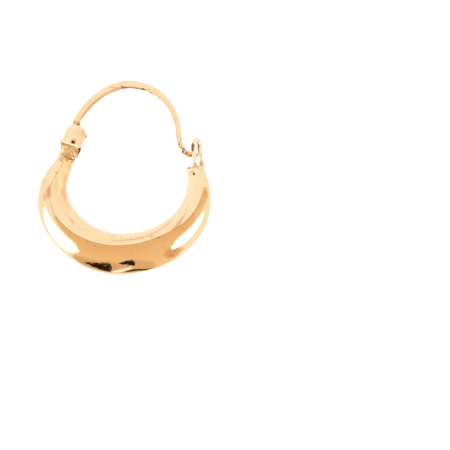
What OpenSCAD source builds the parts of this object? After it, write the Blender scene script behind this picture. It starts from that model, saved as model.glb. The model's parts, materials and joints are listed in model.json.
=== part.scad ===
// Creole hoop earring: a hollow gold crescent with a hinged ear wire that drops into a catch eye.
// The hoop is drawn flat, x to the catch side and y towards the ear, and is then laid down as it rests.

/* [Crescent] */
// Width over the outside of the hollow crescent
hoop_w = 19.1; // [16:0.1:24]
// Diameter of the hollow tube at its fullest
belly_d = 4.3; // [3.4:0.1:5]
// Thickness of the sheet that the tube is made of
wall = 0.2; // [0.15:0.05:0.3]
// Thickness of the disc that closes the catch end
disc_t = 0.35; // [0.25:0.05:0.5]
// Diameter of the vent hole under the closing disc
vent_d = 0.26; // [0.2:0.02:0.4]

/* [Hinge] */
// Thickness of each cheek plate
cheek_t = 0.3; // [0.25:0.01:0.4]
// Radius of the rounded top of the front cheek
cheek_r = 1.07; // [1:0.01:1.2]
// Size of the back cheek as a share of the front one
back_share = 0.8; // [0.78:0.01:1]
// Diameter of the rivet through the cheeks
rivet_d = 0.46; // [0.4:0.02:0.6]
// Diameter of the rivet's domed heads
rivet_head_d = 0.64; // [0.56:0.02:0.9]
// Height of each rivet head over its cheek
rivet_head_h = 0.14; // [0.1:0.01:0.25]
// Depth of the block that carries the cheeks
block_t = 0.9; // [0.75:0.05:1]

/* [Ear wire] */
// Thickness of the flat strip between the cheeks
wire_t = 0.44; // [0.4:0.01:0.5]
// Diameter of the round eye at the wire's hinge end
paddle_d = 1.7; // [1.5:0.05:1.8]
// Space between the wire and each cheek
side_play = 0.03; // [0.03:0.01:0.06]
// Space round the rivet in the wire's bore
bore_play = 0.03; // [0.02:0.01:0.06]

/* [Catch eye] */
// Diameter of the wire that the eye is bent from
eye_wire_d = 0.46; // [0.4:0.02:0.6]
// Distance between the middles of the eye's two legs
eye_w = 1.5; // [1.4:0.05:1.8]
// Straight length of the legs above the closing disc
eye_leg = 1.9; // [1.6:0.05:2.2]

/* [Hidden] */
$fn = 48;
gold = [0.93, 0.70, 0.42];
solder_gold = [0.80, 0.70, 0.38];

// Rows of the crescent from the hinge end to the catch end.
// Columns: angle round the hoop's middle, middle line as a share of hoop_w / 2,
// tube radius as a share of belly_d / 2.
CRESCENT = [
    [-204, 0.726, 0.42],
    [-194, 0.748, 0.49],
    [-175, 0.834, 0.69],
    [-157, 0.850, 0.85],
    [-139, 0.808, 0.93],
    [-120, 0.756, 0.99],
    [ -99, 0.704, 1.00],
    [ -78, 0.675, 0.98],
    [ -56, 0.693, 0.94],
    [ -35, 0.746, 0.89],
    [ -14, 0.817, 0.77],
    [   5, 0.859, 0.57],
    [  19, 0.868, 0.42]
];
tube_sides = 20;
rings_per_row = 4;

// Rows of the ear wire from its hinge end to its tip.
// Columns: x, y, width in the hoop's plane, thickness across it.
WIRE = [
    [-5.3,  5.2,  0.95, 0.44],
    [-5.2,  6.5,  0.86, 0.44],
    [-4.0,  8.2,  0.84, 0.54],
    [-1.9,  9.9,  0.86, 0.60],
    [ 0.6, 10.75, 0.86, 0.60],
    [ 3.05, 10.4, 0.78, 0.60],
    [ 4.95, 9.1,  0.64, 0.60],
    [ 5.85, 7.4,  0.56, 0.60],
    [ 6.05, 6.0,  0.56, 0.58],
    [ 6.25, 5.0,  0.56, 0.56],
    [ 6.8,  4.35, 0.56, 0.55],
    [ 7.6,  4.15, 0.54, 0.52],
    [ 8.45, 4.3,  0.42, 0.42]
];
wire_sides = 12;
wire_squareness = 3;

// Middle of the rivet, and the cheek's corners and round top measured from it
rivet_at = [-5.33, 4.63];
cheek_corners = [[-1.4, -0.1], [0.6, -0.6], [1.22, 0.48], [0.2, 1.2], [-0.78, 1.2]];
cheek_top = [0.17, 0.66];
slot_t = wire_t + 2 * side_play;
hinge_t = slot_t + 2 * cheek_t;
swing_r = paddle_d / 2 + 0.1;
block_corners = [[-1.5, 0.05], [0.5, -0.4], [0.32, -1.6], [-0.1, -2.2], [-1.75, -1.5]];

// The catch end: middle of the tube's end face and its lean towards the hinge side
last_row = len(CRESCENT) - 1;
end_at = mid_point(last_row);
end_r = tube_r(last_row);
end_lean = 10;
vent_at = end_at + [0.24, -0.24];
eye_at = end_at + [0.33, 0.05];
eye_lean = 5;
solder_r = 0.34;

// The hoop lies on its back, tipped about x until the belly and the eye's back leg both touch
// the surface. The origin is under the middle of all that is drawn, on that surface.
rest_pitch = -5.84;
outer_skin = [for (p = concat(tube_skin(0, last_row, 0), wire_skin())) tipped(p)];
rest_shift = -[
    (least(outer_skin, 0) + most(outer_skin, 0)) / 2,
    (least(outer_skin, 1) + most(outer_skin, 1)) / 2,
    least(outer_skin, 2)
];

function cubic(a, b, c, d, t) =
    b + t * (c - a) / 2 + t * t * (2 * a - 5 * b + 4 * c - d) / 2 + t * t * t * (3 * b - a - 3 * c + d) / 2;

function column_at(rows, column, u) =
    let (i = min(floor(u), len(rows) - 2), last = len(rows) - 1)
    cubic(
        rows[max(i - 1, 0)][column],
        rows[i][column],
        rows[i + 1][column],
        rows[min(i + 2, last)][column],
        u - i
    );

function mid_point(u) =
    let (angle = column_at(CRESCENT, 0, u), r = column_at(CRESCENT, 1, u) * hoop_w / 2)
    [r * cos(angle), r * sin(angle)];

function tube_r(u) = column_at(CRESCENT, 2, u) * belly_d / 2;

function unit(v) = v / norm(v);

// Direction of a chain of points at its point i
function along(points, i) =
    unit(points[min(i + 1, len(points) - 1)] - points[max(i - 1, 0)]);

function power(x, n) = sign(x) * pow(abs(x), n);

// One ring of a sweep: half sizes w and d, and 2 for an ellipse or more for a squarer section
function ring(middle, direction, w, d, sides, squareness) = [
    for (k = [0 : sides - 1])
        let (a = 360 * k / sides, across = w * power(cos(a), 2 / squareness))
        [
            middle.x + direction.y * across,
            middle.y - direction.x * across,
            d * power(sin(a), 2 / squareness)
        ]
];

// The rings of a sweep along a chain of points in the hoop's plane, one after the other
function rings(points, widths, depths, sides, squareness) = [
    for (i = [0 : len(points) - 1])
        each ring(points[i], along(points, i), widths[i], depths[i], sides, squareness)
];

// The rings of the tapering tube between two rows, its surface moved in by inset
function tube_skin(first, last, inset) =
    let (
        steps = [for (u = [first : 1 / rings_per_row : last]) u],
        radii = [for (u = steps) tube_r(u) - inset]
    )
    rings([for (u = steps) mid_point(u)], radii, radii, tube_sides, 2);

// The rings of the ear wire
function wire_skin() =
    let (steps = [for (u = [0 : 1 / rings_per_row : len(WIRE) - 1]) u])
    rings(
        [for (u = steps) [column_at(WIRE, 0, u), column_at(WIRE, 1, u)]],
        [for (u = steps) column_at(WIRE, 2, u) / 2],
        [for (u = steps) column_at(WIRE, 3, u) / 2],
        wire_sides,
        wire_squareness
    );

function tipped(p) = [
    p.x,
    p.y * cos(rest_pitch) - p.z * sin(rest_pitch),
    p.y * sin(rest_pitch) + p.z * cos(rest_pitch)
];

function least(points, axis) = min([for (p = points) p[axis]]);

function most(points, axis) = max([for (p = points) p[axis]]);

// A solid through rings that have the same number of sides, with flat ends
module loft(skin, sides) {
    last = len(skin) / sides - 1;
    walls = [
        for (i = [0 : last - 1], k = [0 : sides - 1])
            let (a = i * sides + k, b = i * sides + (k + 1) % sides)
            each [[a, b, a + sides], [b, b + sides, a + sides]]
    ];
    first_end = [for (k = [sides - 1 : -1 : 0]) k];
    last_end = [for (k = [0 : sides - 1]) last * sides + k];
    polyhedron(points = skin, faces = concat(walls, [first_end, last_end]), convexity = 6);
}

module at_rivet() {
    translate(rivet_at) children();
}

module at_end(place, lean) {
    translate(place) rotate(lean) rotate([-90, 0, 0]) children();
}

module closing_disc() {
    at_end(end_at, end_lean) translate([0, 0, -0.05]) cylinder(r = end_r + 0.05, h = disc_t + 0.05);
}

module catch_eye() {
    for (side = [-1, 1])
        at_end(eye_at, eye_lean) translate([0, side * eye_w / 2, -0.2])
            cylinder(d = eye_wire_d, h = eye_leg + disc_t + 0.2);
    translate(eye_at) rotate(eye_lean) translate([0, eye_leg + disc_t, 0]) rotate([0, 90, 0])
        rotate_extrude(angle = 180) translate([eye_w / 2, 0]) circle(d = eye_wire_d);
}

module eye_solder() {
    at_end(eye_at, eye_lean) {
        translate([0.05, -eye_w / 2, disc_t + 0.06]) sphere(r = solder_r);
        translate([0, eye_w / 2, disc_t]) sphere(r = solder_r * 0.85);
    }
}

module cheek_outline(share) {
    scale(share) {
        polygon(cheek_corners);
        translate(cheek_top) circle(r = cheek_r);
    }
}

module cheeks() {
    at_rivet() {
        translate([0, 0, slot_t / 2]) linear_extrude(cheek_t) cheek_outline(1);
        translate([0, 0, -slot_t / 2 - cheek_t]) linear_extrude(cheek_t) cheek_outline(back_share);
    }
}

// The block under the cheeks, cut away where the wire's round end turns
module hinge_block() {
    difference() {
        at_rivet() translate([0, 0, -block_t / 2]) linear_extrude(block_t) polygon(block_corners);
        at_rivet() cylinder(r = swing_r, h = slot_t, center = true);
        at_rivet() translate([-3, -0.6, -slot_t / 2]) cube([3, 2, slot_t]);
    }
}

module hoop_flat() {
    difference() {
        union() {
            loft(tube_skin(0, last_row, 0), tube_sides);
            closing_disc();
            catch_eye();
            eye_solder();
            hinge_block();
            cheeks();
        }
        loft(tube_skin(1 / rings_per_row, last_row - 1 / rings_per_row, wall), tube_sides);
        translate(vent_at) cylinder(d = vent_d, h = belly_d);
        at_rivet() cylinder(d = rivet_d + 0.04, h = 2 * hinge_t, center = true);
    }
}

module rivet_flat() {
    at_rivet() {
        cylinder(d = rivet_d, h = hinge_t + 0.04, center = true);
        for (side = [0, 1]) mirror([0, 0, side]) translate([0, 0, hinge_t / 2 + 0.01])
            cylinder(d1 = rivet_head_d, d2 = rivet_head_d * 0.6, h = rivet_head_h);
    }
}

module wire_flat() {
    difference() {
        union() {
            loft(wire_skin(), wire_sides);
            at_rivet() cylinder(d = paddle_d, h = wire_t, center = true);
        }
        at_rivet() cylinder(d = rivet_d + 2 * bore_play, h = 2 * wire_t, center = true);
    }
}

// Lays the flat drawing down on its back
module at_rest() {
    translate(rest_shift) rotate([rest_pitch, 0, 0]) children();
}

module hoop() {
    color(gold) at_rest() hoop_flat();
}

module hinge_rivet() {
    color(solder_gold) at_rest() rivet_flat();
}

module ear_wire() {
    color(gold) at_rest() wire_flat();
}

hoop();
hinge_rivet();
ear_wire();
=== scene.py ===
"""Looks of the creole hoop earring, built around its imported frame.

The shapes are drawn flat in millimetres, x to the catch side and y towards the ear, and are laid
down by the place and the direction of the hinge in the frame.
"""

import json
import logging
import math
from dataclasses import dataclass, field, replace
from enum import Enum
from typing import Sequence, Union

import bmesh
import bpy
from mathutils import Matrix, Vector, noise


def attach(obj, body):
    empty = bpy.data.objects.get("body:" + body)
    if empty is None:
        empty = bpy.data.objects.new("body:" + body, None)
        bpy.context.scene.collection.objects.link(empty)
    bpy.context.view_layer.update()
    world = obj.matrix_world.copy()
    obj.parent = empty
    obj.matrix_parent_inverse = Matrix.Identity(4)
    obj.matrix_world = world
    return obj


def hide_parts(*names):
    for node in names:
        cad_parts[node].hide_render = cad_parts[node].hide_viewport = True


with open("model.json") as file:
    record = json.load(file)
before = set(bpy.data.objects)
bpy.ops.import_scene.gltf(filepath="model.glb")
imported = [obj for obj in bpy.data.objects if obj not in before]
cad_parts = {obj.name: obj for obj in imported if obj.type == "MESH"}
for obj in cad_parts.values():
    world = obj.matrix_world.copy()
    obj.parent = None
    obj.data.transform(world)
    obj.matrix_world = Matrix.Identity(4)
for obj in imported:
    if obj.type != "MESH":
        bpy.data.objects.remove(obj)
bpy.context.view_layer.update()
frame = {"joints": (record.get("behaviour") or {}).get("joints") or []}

MM = 0.001
FLAT_UP = Vector((0.0, 0.0, 1.0))
PIN_AT = Vector((-5.33, 4.63, 0.0))
TINY = 1e-6

Socket = bpy.types.NodeSocket
Feed = Union[Socket, float, int, tuple]
Triple = tuple[float, float, float]


class Body(Enum):
    """The moving bodies of the frame."""

    HOOP = "hoop"
    EAR_WIRE = "ear_wire"


class Slot(Enum):
    """The record's material slots."""

    POLISHED = "polished_gold"
    RIVET = "rivet_gold"
    WIRE = "wire_gold"


class Boolean(Enum):
    """What a closed mesh does to another."""

    CUT = "DIFFERENCE"
    ADD = "UNION"


class Mirror(Enum):
    """What a studio card is mirrored in."""

    CRESCENT = "crescent"
    WIRE = "wire"


def laid_down() -> Matrix:
    """The move from the flat drawing in millimetres to the frame in metres.

    Returns:
        A matrix worked out from the hinge, whose pin is at PIN_AT in the flat drawing.
    """
    hinge = frame["joints"][0]
    axis = Vector(hinge["axis"])
    pitch = -math.atan2(axis.y, axis.z)
    turn = Matrix.Rotation(pitch, 4, "X") @ Matrix.Scale(MM, 4)
    return Matrix.Translation(Vector(hinge["pos_m"]) - turn @ PIN_AT) @ turn


def facing(point: Vector, normal: Vector, middle: Vector) -> tuple[Vector, Vector]:
    """Lays a place of a surface down in the frame.

    Args:
        point: the place in the flat drawing.
        normal: a vector square to the surface, to either side.
        middle: a point inside the piece.

    Returns:
        The point in metres and the outward normal.
    """
    if normal.dot(point - middle) < 0:
        normal.negate()
    down = laid_down()
    return down @ point, (down.to_3x3() @ normal).normalized()


def catmull(a: float, b: float, c: float, d: float, t: float) -> float:
    """A value between b and c, t from 0 to 1, on a smooth line through a, b, c and d."""
    slope, bend, twist = c - a, 2 * a - 5 * b + 4 * c - d, 3 * b - a - 3 * c + d
    return b + t * slope / 2 + t * t * bend / 2 + t**3 * twist / 2


def row_at(rows: Sequence[Sequence[float]], u: float) -> list[float]:
    """Every column of a table between its rows.

    Args:
        rows: a table with the same columns in each row.
        u: row number, which may lie between two rows.

    Returns:
        The smoothly interpolated columns.
    """
    last = len(rows) - 1
    i = min(int(u), last - 1)
    near = (rows[max(i - 1, 0)], rows[i], rows[i + 1], rows[min(i + 2, last)])
    return [catmull(*columns, u - i) for columns in zip(*near)]


class Sketch:
    """A node tree that is written like a sum: each method adds a node and gives back its output."""

    def __init__(self, tree: bpy.types.NodeTree) -> None:
        """Keeps the tree that the nodes go into."""
        self.tree = tree

    def node(
        self, kind: str, feeds: dict[Union[str, int], Feed] | None = None, **options: object
    ) -> bpy.types.Node:
        """Adds a node.

        Args:
            kind: Blender's name for the node's type.
            feeds: for each input, a socket to link or a value to set.
            options: properties of the node.

        Returns:
            The node.
        """
        made = self.tree.nodes.new(kind)
        for name, value in options.items():
            setattr(made, name, value)
        for key, value in (feeds or {}).items():
            self.feed(made.inputs[key], value)
        return made

    def feed(self, socket: Socket, value: Feed) -> None:
        """Links a socket to an input, or sets the input's own value."""
        if isinstance(value, Socket):
            self.tree.links.new(value, socket)
        else:
            socket.default_value = value

    def math(self, operation: str, *values: Feed) -> Socket:
        """A Math node of one to three values."""
        return self.node("ShaderNodeMath", dict(enumerate(values)), operation=operation).outputs[0]

    def vector(self, operation: str, *values: Feed) -> Socket:
        """A Vector Math node of vectors."""
        made = self.node("ShaderNodeVectorMath", dict(enumerate(values)), operation=operation)
        return made.outputs["Value" if operation == "LENGTH" else 0]

    def stretched(self, vector: Feed, by: Feed) -> Socket:
        """A vector times a number."""
        return self.node("ShaderNodeVectorMath", {0: vector, "Scale": by}, operation="SCALE").outputs[0]

    def signed_power(self, base: Socket, exponent: Feed) -> Socket:
        """The power of a number's size, with the number's own sign."""
        size = self.math("POWER", self.math("ABSOLUTE", base), exponent)
        return self.math("MULTIPLY", self.math("SIGN", base), size)

    def noise(self, at: Socket, scale: float, detail: float) -> Socket:
        """A noise texture's value."""
        return self.node("ShaderNodeTexNoise", {"Vector": at, "Scale": scale, "Detail": detail}).outputs[0]

    def attribute(self, name: str) -> Socket:
        """A number that the mesh keeps at its points, in a material."""
        return self.node("ShaderNodeAttribute", attribute_name=name).outputs["Fac"]

    def place(self) -> Socket:
        """The place on the piece, in metres."""
        return self.node("ShaderNodeTexCoord").outputs["Object"]

    def ramp(self, value: Feed, low: float, high: float, start: float = 0.0, end: float = 1.0) -> Socket:
        """A smooth step from start to end as value goes from low to high."""
        feeds = {"Value": value, "From Min": low, "From Max": high, "To Min": start, "To Max": end}
        return self.node("ShaderNodeMapRange", feeds, interpolation_type="SMOOTHSTEP").outputs["Result"]

    def mixed(self, share: Feed, first: Feed, second: Feed) -> Socket:
        """A colour between two, share 0 giving the first.

        Args:
            share: how much of the second.
            first: a colour.
            second: another one.

        Returns:
            The colour's socket.
        """
        made = self.node("ShaderNodeMix", data_type="RGBA")
        self.feed(made.inputs["Factor"], share)
        for name, value in (("A", first), ("B", second)):
            socket = next(s for s in made.inputs if s.name == name and s.type == "RGBA")
            self.feed(socket, value)
        return next(s for s in made.outputs if s.type == "RGBA")


@dataclass
class Station:
    """One section along a swept piece, in the flat drawing."""

    middle: Vector
    across: Vector
    half_width: float
    half_depth: float
    seam: float = 120.0
    crease: float = 0.0


@dataclass(frozen=True)
class Skin:
    """What a sweep's surface is like; each field is an input of its tree."""

    material: bpy.types.Material
    sides: int
    wave: float
    wave_scale: float
    normal: Vector = field(default_factory=FLAT_UP.copy)
    squareness: float = 2.0
    ridge_width: float = 0.5


class Sweep:
    """A Geometry Nodes tree that sweeps a section along stations and dresses its surface by rule."""

    SEAM_SIDE, BACK_RIDGE = 120.0, 0.35
    INPUTS = {
        "material": "Material",
        "sides": "Int",
        "wave": "Float",
        "wave_scale": "Float",
        "normal": "Vector",
        "squareness": "Float",
        "ridge_width": "Float",
    }

    def __init__(self) -> None:
        """Builds the tree once."""
        self.tree = bpy.data.node_groups.new("swept_section", "GeometryNodeTree")
        self._sockets: dict[str, str] = {}
        self._declare()
        self._build()

    def _declare(self) -> None:
        """Names the tree's inputs and keeps each one's identifier."""
        face = self.tree.interface
        face.new_socket("Geometry", in_out="INPUT", socket_type="NodeSocketGeometry")
        face.new_socket("Geometry", in_out="OUTPUT", socket_type="NodeSocketGeometry")
        for name, kind in self.INPUTS.items():
            made = face.new_socket(name, in_out="INPUT", socket_type=f"NodeSocket{kind}")
            self._sockets[name] = made.identifier

    def _named(self, sketch: Sketch, name: str, kind: str = "FLOAT") -> Socket:
        """The output that reads a named attribute."""
        made = sketch.node("GeometryNodeInputNamedAttribute", {"Name": name}, data_type=kind)
        return made.outputs["Attribute"]

    def _stored(self, sketch: Sketch, geometry: Socket, name: str, value: Socket) -> Socket:
        """The geometry with a number kept at each of its points.

        Args:
            sketch: the tree's sketch.
            geometry: what has the points.
            name: the attribute's name.
            value: the number.

        Returns:
            The geometry's new socket.
        """
        feeds = {"Geometry": geometry, "Name": name, "Value": value}
        made = sketch.node("GeometryNodeStoreNamedAttribute", feeds, data_type="FLOAT", domain="POINT")
        return made.outputs[0]

    def _build(self) -> None:
        """Sweeps a ring, moves its points to the section, adds the seam's ridge and the hand's waviness."""
        s = Sketch(self.tree)
        given = s.node("NodeGroupInput").outputs
        chain = s.node("GeometryNodeMeshToCurve", {"Mesh": given["Geometry"]}).outputs[0]
        feeds = {"Resolution": given["sides"], "Radius": 1.0}
        circle = s.node("GeometryNodeCurvePrimitiveCircle", feeds).outputs[0]
        place = s.node("ShaderNodeSeparateXYZ", {0: s.node("GeometryNodeInputPosition").outputs[0]}).outputs
        angle = s.math("ARCTAN2", place["Y"], place["X"])
        ring = self._stored(s, circle, "turn", angle)
        feeds = {"Curve": chain, "Profile Curve": ring, "Fill Caps": True}
        skin = s.node("GeometryNodeCurveToMesh", feeds).outputs[0]

        turn = self._named(s, "turn")
        fold = s.math("DEGREES", s.math("ARCCOSINE", s.math("COSINE", turn)))
        seam = self._named(s, "seam")
        below = s.math("MULTIPLY", fold, s.math("DIVIDE", seam, self.SEAM_SIDE))
        rest = s.math("DIVIDE", s.math("SUBTRACT", 180.0, seam), 180.0 - self.SEAM_SIDE)
        above = s.math("SUBTRACT", 180.0, s.math("MULTIPLY", s.math("SUBTRACT", 180.0, fold), rest))
        is_above = s.math("GREATER_THAN", fold, self.SEAM_SIDE)
        fold = s.math("ADD", below, s.math("MULTIPLY", is_above, s.math("SUBTRACT", above, below)))
        turn = s.math("MULTIPLY", s.math("RADIANS", fold), s.math("SIGN", turn))
        exponent = s.math("DIVIDE", 2.0, given["squareness"])
        cosine = s.math("COSINE", turn)
        wide = s.math("MULTIPLY", s.signed_power(cosine, exponent), self._named(s, "half_width"))
        deep = s.signed_power(s.math("SINE", turn), exponent)
        deep = s.math("MULTIPLY", deep, self._named(s, "half_depth"))
        out = s.vector(
            "ADD",
            s.stretched(self._named(s, "across", "FLOAT_VECTOR"), wide),
            s.stretched(given["normal"], deep),
        )

        arc = s.math("MULTIPLY", self._named(s, "half_width"), math.pi / 180)
        distance = s.math("MULTIPLY", s.math("SUBTRACT", fold, seam), arc)
        width = s.math("MULTIPLY", given["ridge_width"], -1.0)
        ridge = s.math("EXPONENT", s.math("DIVIDE", s.math("ABSOLUTE", distance), width))
        in_front = s.math("GREATER_THAN", turn, 0.0)
        share = s.math("ADD", s.math("MULTIPLY", in_front, 1.0 - self.BACK_RIDGE), self.BACK_RIDGE)
        ridge = s.math("MULTIPLY", s.math("MULTIPLY", ridge, share), self._named(s, "crease"))
        middle = self._named(s, "middle", "FLOAT_VECTOR")
        noise_at = s.stretched(s.vector("ADD", middle, out), given["wave_scale"])
        wave = s.math("MULTIPLY", s.math("SUBTRACT", s.noise(noise_at, 1.0, 1.5), 1.0), given["wave"])
        outwards = s.stretched(s.vector("NORMALIZE", out), s.math("ADD", ridge, wave))
        position = s.vector("ADD", middle, s.vector("ADD", out, outwards))

        skin = self._stored(s, skin, "seam_distance", distance)
        skin = self._stored(s, skin, "seam_height", self._named(s, "crease"))
        skin = s.node("GeometryNodeSetPosition", {"Geometry": skin, "Position": position}).outputs[0]
        skin = s.node("GeometryNodeRealizeInstances", {"Geometry": skin}).outputs[0]
        feeds = {"Geometry": skin, "Material": given["material"]}
        skin = s.node("GeometryNodeSetMaterial", feeds).outputs[0]
        s.node("NodeGroupOutput", {"Geometry": skin})

    def mesh(self, stations: Sequence[Station], skin: Skin) -> bpy.types.Mesh:
        """Sweeps the section along the stations.

        Args:
            stations: the sections in order.
            skin: what its surface is like.

        Returns:
            A plain closed mesh in the flat drawing.
        """
        chain = bpy.data.meshes.new("chain")
        edges = [(i, i + 1) for i in range(len(stations) - 1)]
        chain.from_pydata([s.middle for s in stations], edges, [])
        vectors, numbers = ("middle", "across"), ("half_width", "half_depth", "seam", "crease")
        for name in vectors:
            values = [x for s in stations for x in getattr(s, name)]
            chain.attributes.new(name, "FLOAT_VECTOR", "POINT").data.foreach_set("vector", values)
        for name in numbers:
            values = [getattr(s, name) for s in stations]
            chain.attributes.new(name, "FLOAT", "POINT").data.foreach_set("value", values)
        holder = linked("chain", chain)
        modifier = holder.modifiers.new("sweep", "NODES")
        modifier.node_group = self.tree
        for name, socket in self._sockets.items():
            modifier[socket] = getattr(skin, name)
        made = plain_mesh(holder)
        for name in vectors + numbers + ("turn",):
            if name in made.attributes:
                made.attributes.remove(made.attributes[name])
        return outward(made)


def linked(name: str, data: Union[bpy.types.Mesh, bpy.types.Camera]) -> bpy.types.Object:
    """Puts a new object into the scene.

    Args:
        name: its name.
        data: its mesh or camera.

    Returns:
        The object.
    """
    made = bpy.data.objects.new(name, data)
    bpy.context.scene.collection.objects.link(made)
    return made


def closed_work(work: bmesh.types.BMesh, name: str) -> bpy.types.Mesh:
    """Ends the work on a mesh.

    Args:
        work: what was built.
        name: the mesh's name.

    Returns:
        The mesh.
    """
    made = bpy.data.meshes.new(name)
    work.to_mesh(made)
    work.free()
    return made


def blank(owner: Union[bpy.types.Material, bpy.types.World]) -> Sketch:
    """Empties the node tree of a material or a world.

    Args:
        owner: the material or the world.

    Returns:
        A sketch of its tree.
    """
    owner.use_nodes = True
    owner.node_tree.nodes.clear()
    return Sketch(owner.node_tree)


def plain_mesh(holder: bpy.types.Object) -> bpy.types.Mesh:
    """The mesh that an object's modifiers give; the object is removed.

    Args:
        holder: an object with live modifiers.

    Returns:
        A new mesh with nothing live on it.
    """
    bpy.context.view_layer.update()
    graph = bpy.context.evaluated_depsgraph_get()
    seen = holder.evaluated_get(graph)
    made = bpy.data.meshes.new_from_object(seen, preserve_all_data_layers=True, depsgraph=graph)
    old = holder.data
    bpy.data.objects.remove(holder)
    bpy.data.meshes.remove(old)
    return made


def outward(mesh: bpy.types.Mesh) -> bpy.types.Mesh:
    """Merges doubles and turns every face of a closed mesh outwards.

    Args:
        mesh: the mesh.

    Returns:
        The same mesh.
    """
    work = bmesh.new()
    work.from_mesh(mesh)
    bmesh.ops.remove_doubles(work, verts=work.verts, dist=TINY)
    bmesh.ops.recalc_face_normals(work, faces=work.faces)
    work.to_mesh(mesh)
    work.free()
    mesh.polygons.foreach_set("use_smooth", [True] * len(mesh.polygons))
    return mesh


def sharpened(mesh: bpy.types.Mesh, angle: float = 12.0) -> bpy.types.Mesh:
    """Shades a mesh smooth, with its creases kept sharp.

    Args:
        mesh: the mesh.
        angle: the least turn in degrees that counts as a crease.

    Returns:
        The same mesh.
    """
    mesh.polygons.foreach_set("use_smooth", [True] * len(mesh.polygons))
    mesh.set_sharp_from_angle(angle=math.radians(angle))
    return mesh


def joined(*parts: bpy.types.Mesh) -> bpy.types.Mesh:
    """One mesh that holds several.

    Args:
        parts: the meshes.

    Returns:
        A new mesh.
    """
    work = bmesh.new()
    for part in parts:
        work.from_mesh(part)
    return closed_work(work, "joined")


def flipped(mesh: bpy.types.Mesh) -> bpy.types.Mesh:
    """The mesh with its faces turned round, for the inner wall of a shell."""
    mesh.flip_normals()
    return mesh


def cut(
    mesh: bpy.types.Mesh, tools: Sequence[bpy.types.Mesh], does: Boolean = Boolean.CUT
) -> bpy.types.Mesh:
    """Cuts closed meshes out of a closed mesh, or adds them.

    Args:
        mesh: the piece.
        tools: the meshes to cut or add, one after the other.
        does: whether they are cut or added.

    Returns:
        The new mesh.
    """
    piece = linked("holder", mesh)
    helpers = []
    for tool in tools:
        helper = linked("holder", tool)
        step = piece.modifiers.new("cut", "BOOLEAN")
        step.operation, step.solver, step.object = does.value, "EXACT", helper
        helpers.append(helper)
    made = plain_mesh(piece)
    for helper in helpers:
        bpy.data.objects.remove(helper)
    return made


def lathe(profile: Sequence[tuple[float, float]], sides: int) -> bpy.types.Mesh:
    """Turns a profile round the z axis into a closed mesh.

    Args:
        profile: (radius, height) from one point on the axis to another, or a closed loop off the axis.
        sides: steps round the axis.

    Returns:
        The turned mesh.
    """
    on_axis = profile[0][0] == 0
    work = bmesh.new()
    rings = []
    for radius, height in profile:
        count = 1 if radius == 0 else sides
        angles = [2 * math.pi * k / sides for k in range(count)]
        rings.append([work.verts.new((radius * math.cos(a), radius * math.sin(a), height)) for a in angles])
    pairs = list(zip(rings, rings[1:]))
    if not on_axis:
        pairs.append((rings[-1], rings[0]))
    for low, high in pairs:
        for k in range(sides):
            j = (k + 1) % sides
            corners = [low[k % len(low)], low[j % len(low)], high[j % len(high)], high[k % len(high)]]
            work.faces.new(dict.fromkeys(corners))
    return outward(closed_work(work, "turned"))


def rounded_edge(
    radius: float, low: float, high: float, soft: float, steps: int = 5
) -> list[tuple[float, float]]:
    """The profile of a disc with two rounded rims, from axis to axis.

    Args:
        radius: the disc's radius.
        low: height of its under side.
        high: height of its top.
        soft: radius of the rounding.
        steps: stretches in each rounding.

    Returns:
        Its (radius, height) points.
    """
    points = [(0.0, low)]
    for centre, start in ((low + soft, -90), (high - soft, 0)):
        for k in range(steps + 1):
            a = math.radians(start + 90 * k / steps)
            points.append((radius - soft + soft * math.cos(a), centre + soft * math.sin(a)))
    return points + [(0.0, high)]


def prism(outline: Sequence[tuple[float, float]], low: float, high: float, soft: float) -> bpy.types.Mesh:
    """An outline pulled up from one height to another, with rounded edges.

    Args:
        outline: the corners in order.
        low: lower height.
        high: upper height.
        soft: width of the rounding of its edges.

    Returns:
        The closed mesh.
    """
    work = bmesh.new()
    floor = work.faces.new([work.verts.new((x, y, low)) for x, y in outline])
    pulled = bmesh.ops.extrude_face_region(work, geom=[floor])["geom"]
    lid = [v for v in pulled if isinstance(v, bmesh.types.BMVert)]
    bmesh.ops.translate(work, verts=lid, vec=(0, 0, high - low))
    bmesh.ops.recalc_face_normals(work, faces=work.faces)
    if soft:
        rims = [e for e in work.edges if abs(e.verts[0].co.z - e.verts[1].co.z) < TINY]
        bmesh.ops.bevel(work, geom=rims, offset=soft, segments=4, profile=0.5, affect="EDGES")
    return outward(closed_work(work, "prism"))


def moved(mesh: bpy.types.Mesh, matrix: Matrix) -> bpy.types.Mesh:
    """Moves a mesh's points and gives it back."""
    mesh.transform(matrix)
    return mesh


@dataclass(frozen=True)
class Mark:
    """A stain, speck or worn place, or a patch of painted light or shade, at one spot of the flat drawing.
    """

    at: Vector
    size: Triple
    tint: Triple
    strength: float
    roughness: float = 0.15
    edge: float = 0.6


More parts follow.
